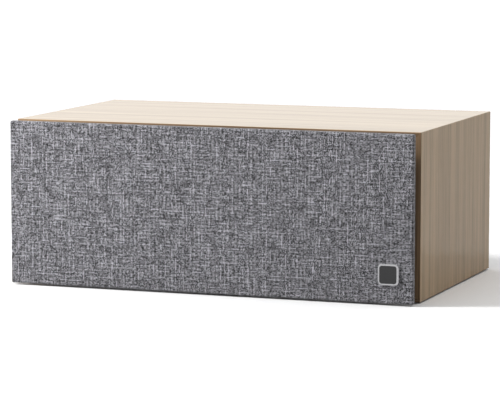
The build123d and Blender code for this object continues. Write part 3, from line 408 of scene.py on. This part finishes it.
def heather_cloth():
    """Plain weave of uneven yarns, some of them light, with slubs both ways, pinholes between them, and
    painted shade where the yarns dip under each other.
    """
    shader = Shader("heather_cloth", CLOTH_ROUGHNESS)
    flat = shader.node("UVMap", uv_map="weave").outputs["UV"]
    across, up, _ = shader.parted(flat)
    side_drift = shader.noise(flat, DRIFTS)
    rise_drift = shader.noise(shader.joined(up, across, RISE_LAYER), DRIFTS)
    warp_place = shader.math("ADD", side_drift, shader.math("DIVIDE", across, YARN_ACROSS))
    weft_place = shader.math("ADD", rise_drift, shader.math("DIVIDE", up, YARN_UP))
    warp = shader.math("FLOOR", warp_place)
    weft = shader.math("FLOOR", weft_place)

    def along_yarn(yarn, step, along, changes, layer, detail):
        """Noise that changes along a yarn, and from one yarn to the next."""
        beside = shader.math("MULTIPLY", yarn, step)
        ahead = shader.math("MULTIPLY", along, changes)
        return shader.noise(shader.joined(beside, ahead, layer), detail=detail)

    def yarn_tone(yarn, along, layer):
        """Lightness that a yarn's slubs add, with more of it on light yarns."""
        slub = along_yarn(yarn, SLUB_STEP, along, SLUBS, layer, detail=1.5)
        slub = shader.math("SUBTRACT", slub, NOISE_MIDDLE)
        stray = along_yarn(yarn, STRAY_STEP, along, STRAYS, layer, detail=0.0)
        stray = shader.math("FLOOR", shader.math("MULTIPLY", stray, STRAY_REACH))
        turn = shader.math("FLOORED_MODULO", shader.math("ADD", yarn, stray), LIGHT_EVERY)
        light = shader.math("LESS_THAN", turn, HALF_YARN)
        lift = shader.math("MULTIPLY", light, shader.ranged(slub, *LIGHT_SLUBS, 0.0, LIGHT_SHARE))
        return shader.math("MULTIPLY_ADD", slub, SLUB_SHARE, lift)

    over = shader.math("FLOORED_MODULO", shader.math("ADD", warp, weft), 2.0)
    warp_round = shader.math("PINGPONG", warp_place, HALF_YARN)
    weft_round = shader.math("PINGPONG", weft_place, HALF_YARN)
    weft_over = shader.math("MULTIPLY_ADD", warp_round, UNDER_SHARE, weft_round)
    warp_over = shader.math("MULTIPLY_ADD", weft_round, UNDER_SHARE, warp_round)
    height = shader.mixed("FLOAT", over, weft_over, warp_over)
    knot = shader.node("TexWhiteNoise", noise_dimensions="2D")
    shader.feed(knot.inputs["Vector"], shader.joined(warp, weft))
    chance = knot.outputs["Value"]
    pinhole = shader.math("LESS_THAN", chance, PINHOLE_CHANCE)
    fuzz = shader.math("SUBTRACT", shader.noise(flat, FUZZ), NOISE_MIDDLE)
    level = shader.math("MULTIPLY_ADD", chance, KNOT_SHARE, PLAIN_LEVEL)
    level = shader.math("MULTIPLY_ADD", pinhole, -PINHOLE_DEPTH, level)
    level = shader.math("ADD", level, yarn_tone(warp, up, WARP_LAYER))
    level = shader.math("ADD", level, yarn_tone(weft, across, WEFT_LAYER))
    # Painted shade: the weave's height darkens its low places and lightens its crowns, besides the bump.
    level = shader.math("MULTIPLY_ADD", height, RELIEF_PAINTED_SHADE_SHARE, level)
    level = shader.math("MULTIPLY_ADD", fuzz, FUZZ_SHARE, level)
    colour = shader.ramp(level, (0.0, YARN_DARK), (0.5, YARN_GREY), (1.0, YARN_PALE))
    shader.surface_takes(Base_Color=colour, Sheen_Weight=CLOTH_SHEEN, Sheen_Roughness=SHEEN_ROUGHNESS)
    shader.bump(height, YARN_RELIEF)
    return shader.material


def grained(name, colour, roughness, grain, depth, metallic=0.0, change=0.12):
    """Moulded, painted or plated surface with a fine grain: changes in a metre, depth in metres."""
    shader = Shader(name, metallic=metallic)
    place = shader.object_place()
    fine = shader.noise(place, grain, detail=3.0)
    broad = shader.noise(place, grain / BROAD_GRAIN)
    low, high = NOISE_SPAN
    dull = min(1.0, roughness * (1 + GLOSS_CHANGE))
    shader.surface_takes(
        Base_Color=shader.ramp(broad, (low, shade(colour, 1 - change)), (high, shade(colour, 1 + change))),
        Roughness=shader.ranged(fine, low, high, roughness * (1 - GLOSS_CHANGE), dull),
    )
    shader.bump(fine, depth)
    return shader.material


def woven(name, colour, roughness, pitch):
    """Fine plain weave, for treated cloth, with painted shade in its grooves and painted light on its
    crowns.
    """
    shader = Shader(name)
    x, _, z = shader.parted(shader.object_place())
    first = shader.math("PINGPONG", x, pitch)
    second = shader.math("PINGPONG", z, pitch)
    height = shader.math("DIVIDE", shader.math("ADD", first, second), 2 * pitch)
    # Painted shade in the grooves and painted light on the crowns, following the weave's height.
    painted_groove_shade, painted_crown_light = shade(colour, GROOVE_PAINTED_SHADE), shade(colour, CROWN_PAINTED_LIGHT)
    shader.surface_takes(
        Base_Color=shader.ramp(height, (0.0, painted_groove_shade), (1.0, painted_crown_light)),
        Roughness=shader.ranged(height, 0.0, 1.0, roughness, roughness * CROWN_GLOSS),
    )
    shader.bump(height, pitch * TREATED_RELIEF)
    return shader.material


def fibrous(name, colour, roughness, length, depth):
    """Pressed or fluffy fibres that lie every way."""
    shader = Shader(name, roughness)
    place = shader.object_place()
    fibres = shader.noise(place, 1 / length, FIBRE_DETAIL, FIBRE_ROUGHNESS)
    clumps = shader.noise(place, 1 / (CLUMP_LENGTHS * length))
    clump_tone = shader.math("MULTIPLY", clumps, 1 - FIBRE_SHARE)
    tone = shader.math("MULTIPLY_ADD", fibres, FIBRE_SHARE, clump_tone)
    low, high = NOISE_SPAN
    dark, pale = shade(colour, 1 - FIBRE_CHANGE), shade(colour, 1 + FIBRE_CHANGE)
    shader.surface_takes(Base_Color=shader.ramp(tone, (low, dark), (high, pale)))
    shader.bump(fibres, depth)
    return shader.material


def wound(name, colour, wire):
    """Enamelled wire wound in close turns, with painted shade between them."""
    shader = Shader(name, metallic=WIRE_METAL)
    _, y, z = shader.parted(shader.object_place())
    turn = shader.math("PINGPONG", shader.math("ADD", y, z), wire / 2)
    height = shader.math("DIVIDE", turn, wire / 2)
    # Painted shade where the turns meet.
    painted_gap_shade = shade(colour, WIRE_GAP_PAINTED_SHADE)
    shader.surface_takes(
        Base_Color=shader.ramp(height, (0.0, painted_gap_shade), (WIRE_FULL_HEIGHT, colour)),
        Roughness=shader.ranged(height, 0.0, 1.0, *WIRE_ROUGHNESS),
    )
    shader.bump(height, wire * WIRE_RELIEF)
    return shader.material


def all_materials():
    """A material for each of the record's slots."""
    return {
        "oak_veneer": oak("oak_across_painted_light", TOP_OAK_PAINTED_PALER, TOP_FIGURE_FADED_BY_PAINTED_LIGHT, TOP_LACQUER, "x"),
        "black_board": grained("black_board", BLACK_PAINT, 0.45, grain=900, depth=0.00003),
        "raw_board": fibrous("raw_board", FIBREBOARD, 0.85, length=0.0008, depth=0.00005),
        "heather_cloth": heather_cloth(),
        "rubber": grained("rubber", BLACK_RUBBER, 0.62, grain=1500, depth=0.00002),
        "black_plastic": grained("black_plastic", BLACK_PLASTIC, 0.42, grain=1800, depth=0.00003),
        "bright_metal": grained("bright_metal", CHROME, 0.28, 900, 0.000004, metallic=1.0, change=0.03),
        "black_enamel": grained("black_enamel", BLACK_PAINT, 0.22, grain=700, depth=0.000004),
        "cast_aluminium": grained("cast_aluminium", DARK_GREY, 0.48, 1400, 0.00005, metallic=0.3),
        "coated_paper": fibrous("coated_paper", DARK_GREY, 0.55, length=0.0012, depth=0.00006),
        "spider_cloth": woven("spider_cloth", RESIN_YELLOW, 0.7, pitch=0.0006),
        "copper_winding": wound("copper_winding", COPPER, wire=0.0006),
        "steel": grained("steel", STEEL_GREY, 0.34, 800, 0.00001, metallic=1.0, change=0.06),
        "ferrite": grained("ferrite", FERRITE_GREY, 0.70, grain=900, depth=0.00006),
        "silk": woven("silk", BLACK_SILK, 0.45, pitch=0.00025),
        "gold_plate": grained("gold_plate", GOLD, 0.22, 900, 0.000005, metallic=1.0, change=0.04),
        "red_plastic": grained("red_plastic", RED, 0.30, grain=1200, depth=0.00001),
        "dark_plastic": grained("dark_plastic", BLACK_PLASTIC, 0.30, grain=1200, depth=0.00001),
        "circuit_board": grained("circuit_board", BOARD_GREEN, 0.40, grain=500, depth=0.00002, change=0.25),
        "film_plastic": grained("film_plastic", FILM_ORANGE, 0.28, grain=400, depth=0.00002),
        "cement": grained("cement", CEMENT_WHITE, 0.85, grain=900, depth=0.00008),
        "lead_jacket": grained("lead_jacket", BLACK_JACKET, 0.50, grain=1200, depth=0.00002),
        "wadding": fibrous("wadding", WADDING_WHITE, 0.95, length=0.0025, depth=0.0015),
        "black_steel": grained("black_steel", BLACK_IRON, 0.35, 1500, 0.00001, metallic=0.6),
    }


def dress(piece, material):
    """Gives a piece one material."""
    piece.data.materials.clear()
    piece.data.materials.append(material)


def dress_nodes(materials):
    """Gives each CAD node its slot's material, the upright boards with upright grain."""
    upright_oak = oak("oak_upright", SIDE_OAK, SIDE_FIGURE, SIDE_LACQUER, "z")
    for part in frame["record"]["subparts"]:
        node = part["node"]
        upright = node in ("left_side_panel", "right_side_panel")
        dress(nodes[node], upright_oak if upright else materials[part["material_slot"]])


# Cloth


def outline(half_width, half_height, inset):
    """Rounded rectangle set in from the grille's edge, as (x, z) points from its middle."""
    radius = max(CLOTH_CORNER_RADIUS - inset, HEM_CORNER_RADIUS)
    points = []
    for corner in range(4):
        x_side = (1, -1, -1, 1)[corner]
        z_side = (1, 1, -1, -1)[corner]
        middle_x = x_side * (half_width - inset - radius)
        middle_z = z_side * (half_height - inset - radius)
        for step in range(CORNER_STEPS + 1):
            turn = math.pi / 2 * (corner + step / CORNER_STEPS)
            points.append((middle_x + radius * math.cos(turn), middle_z + radius * math.sin(turn)))
    return points


def cloth_profile(front, back):
    """Steps of the cloth over the frame's edge, as (inset, depth, cloth used since the flat front)."""
    profile = []
    for step in range(EDGE_STEPS + 1):
        turn = math.pi / 2 * step / EDGE_STEPS
        inset = CLOTH_EDGE_RADIUS * (1 - math.sin(turn))
        profile.append((inset, front + CLOTH_EDGE_RADIUS * (1 - math.cos(turn)), CLOTH_EDGE_RADIUS * turn))
    edge_cloth = profile[-1][2] + back - profile[-1][1]
    profile.append((0.0, back, edge_cloth))
    profile.append((HEM_WIDTH, back, edge_cloth + HEM_WIDTH))
    return profile


def grille_cloth(material):
    """The cloth as one sheet over the frame's front and edges, turned in behind."""
    low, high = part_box("grille_cloth")
    half_width = (high.x - low.x) / 2
    half_height = (high.z - low.z) / 2
    middle_x = (high.x + low.x) / 2
    middle_z = (high.z + low.z) / 2
    profile = cloth_profile(low.y, high.y)
    points, flat_points = [], []
    for inset, depth, used in profile:
        points += [(middle_x + x, depth, middle_z + z) for x, z in outline(half_width, half_height, inset)]
        flat_points += outline(half_width, half_height, CLOTH_EDGE_RADIUS - used)
    count = 4 * (CORNER_STEPS + 1)
    faces = [tuple(range(count))]
    for ring in range(len(profile) - 1):
        for step in range(count):
            following = (step + 1) % count
            here, there = ring * count, (ring + 1) * count
            faces.append((here + following, here + step, there + step, there + following))
    mesh = bpy.data.meshes.new("grille_cloth_sheet")
    mesh.from_pydata(points, [], faces)
    mesh.shade_smooth()
    weave = mesh.uv_layers.new(name="weave")
    for loop in mesh.loops:
        weave.data[loop.index].uv = flat_points[loop.vertex_index]
    sheet = bpy.data.objects.new("grille_cloth_sheet", mesh)
    bpy.context.scene.collection.objects.link(sheet)
    thickness = sheet.modifiers.new("thickness", "SOLIDIFY")
    thickness.thickness = CLOTH_THICKNESS
    thickness.offset = -1.0
    dress(sheet, material)
    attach(sheet, "grille")
    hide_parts("grille_cloth")


# Suspension of the woofers


def flexing(node, side, radii, material):
    """A copy of a suspension piece whose outer edge stays and whose inner edge follows the cone."""
    mesh = nodes[node].data.copy()
    piece = bpy.data.objects.new(node + "_flexing", mesh)
    bpy.context.scene.collection.objects.link(piece)
    dress(piece, material)
    low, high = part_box(f"{side}_woofer_cone")
    middle = (low + high) / 2
    still, moving = radii
    start = middle + Vector((still, 0, 0))
    end = middle + Vector((moving, 0, 0))
    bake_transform(piece, "cabinet", f"{side}_cone", start=start, end=end)
    reach = [math.hypot(point.co.x - middle.x, point.co.z - middle.z) for point in mesh.vertices]
    share = np.clip((still - np.array(reach)) / (still - moving), 0, 1)
    mesh.attributes["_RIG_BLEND"].data.foreach_set("value", share * share * (3 - 2 * share))
    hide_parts(node)


def suspensions(materials):
    """Surround and spider of both woofers."""
    for side in ("left", "right"):
        flexing(f"{side}_woofer_surround", side, ROLL_RADII, materials["rubber"])
        flexing(f"{side}_woofer_spider", side, SPIDER_RADII, materials["spider_cloth"])


# Stage


def white_world():
    """White where it is seen, and elsewhere the light of a room with a bright back wall and ceiling."""
    world = bpy.data.worlds.new("white_room")
    bpy.context.scene.world = world
    world.use_nodes = True
    world.node_tree.nodes.clear()
    room = Nodes(world.node_tree)
    _, depth, height = room.parted(room.node("TexCoord").outputs["Generated"])
    walls = room.ranged(depth, BACK_START, BACK_END, FRONT_LIGHT, BACK_LIGHT)
    ceiling = room.ranged(height, OVERHEAD_START, 1.0, 0.0, OVERHEAD_LIGHT)
    light = room.node("Background")
    room.feed(light.inputs["Color"], WHITE)
    room.feed(light.inputs["Strength"], room.math("ADD", walls, ceiling))
    seen = room.node("Background")
    room.feed(seen.inputs["Color"], WHITE)
    mix = room.node("MixShader")
    for socket, value in zip(mix.inputs, (room.seen_directly(), light.outputs[0], seen.outputs[0])):
        room.feed(socket, value)
    room.feed(room.node("OutputWorld").inputs["Surface"], mix.outputs[0])


def white_floor():
    """Wide floor, white where it is seen and greyer in the light that it throws back."""
    bpy.ops.mesh.primitive_plane_add(size=FLOOR_SIZE)
    floor = bpy.context.object
    floor.name = "floor"
    shader = Shader("floor", roughness=1.0)
    colour = shader.mixed("RGBA", shader.seen_directly(), FLOOR_BOUNCE, WHITE)
    shader.surface_takes(Base_Color=colour, Specular_IOR_Level=0.0)
    dress(floor, shader.material)


def aimed(holder, ahead):
    """Links a lamp or camera to the scene, looking ahead."""
    bpy.context.scene.collection.objects.link(holder)
    holder.rotation_mode = "QUATERNION"
    holder.rotation_quaternion = ahead.to_track_quat("-Z", "Y")


def lights():
    """Soft key light from the left, and a weak panel near the front's left end that no surface mirrors."""
    key = bpy.data.lights.new("key", "SUN")
    key.energy = KEY_STRENGTH
    key.angle = KEY_SPREAD
    aimed(bpy.data.objects.new("key", key), -KEY_DIRECTION)
    fill = bpy.data.lights.new("fill", "AREA")
    fill.energy = FILL_POWER
    fill.size = FILL_SIZE
    holder = bpy.data.objects.new("fill", fill)
    holder.location = FILL_PLACE
    holder.visible_glossy = False
    aimed(holder, -FILL_PLACE)


def photo_camera():
    """Camera at the photograph's place."""
    camera = bpy.data.cameras.new("camera")
    camera.lens = CAMERA_LENS
    holder = bpy.data.objects.new("camera", camera)
    holder.location = CAMERA_PLACE
    level = math.cos(CAMERA_PITCH)
    ahead = Vector((math.sin(CAMERA_YAW) * level, math.cos(CAMERA_YAW) * level, -math.sin(CAMERA_PITCH)))
    aimed(holder, ahead)
    bpy.context.scene.camera = holder


materials = all_materials()
dress_nodes(materials)
grille_cloth(materials["heather_cloth"])
suspensions(materials)
white_world()
white_floor()
lights()
photo_camera()
bpy.context.scene.view_settings.view_transform = "Standard"
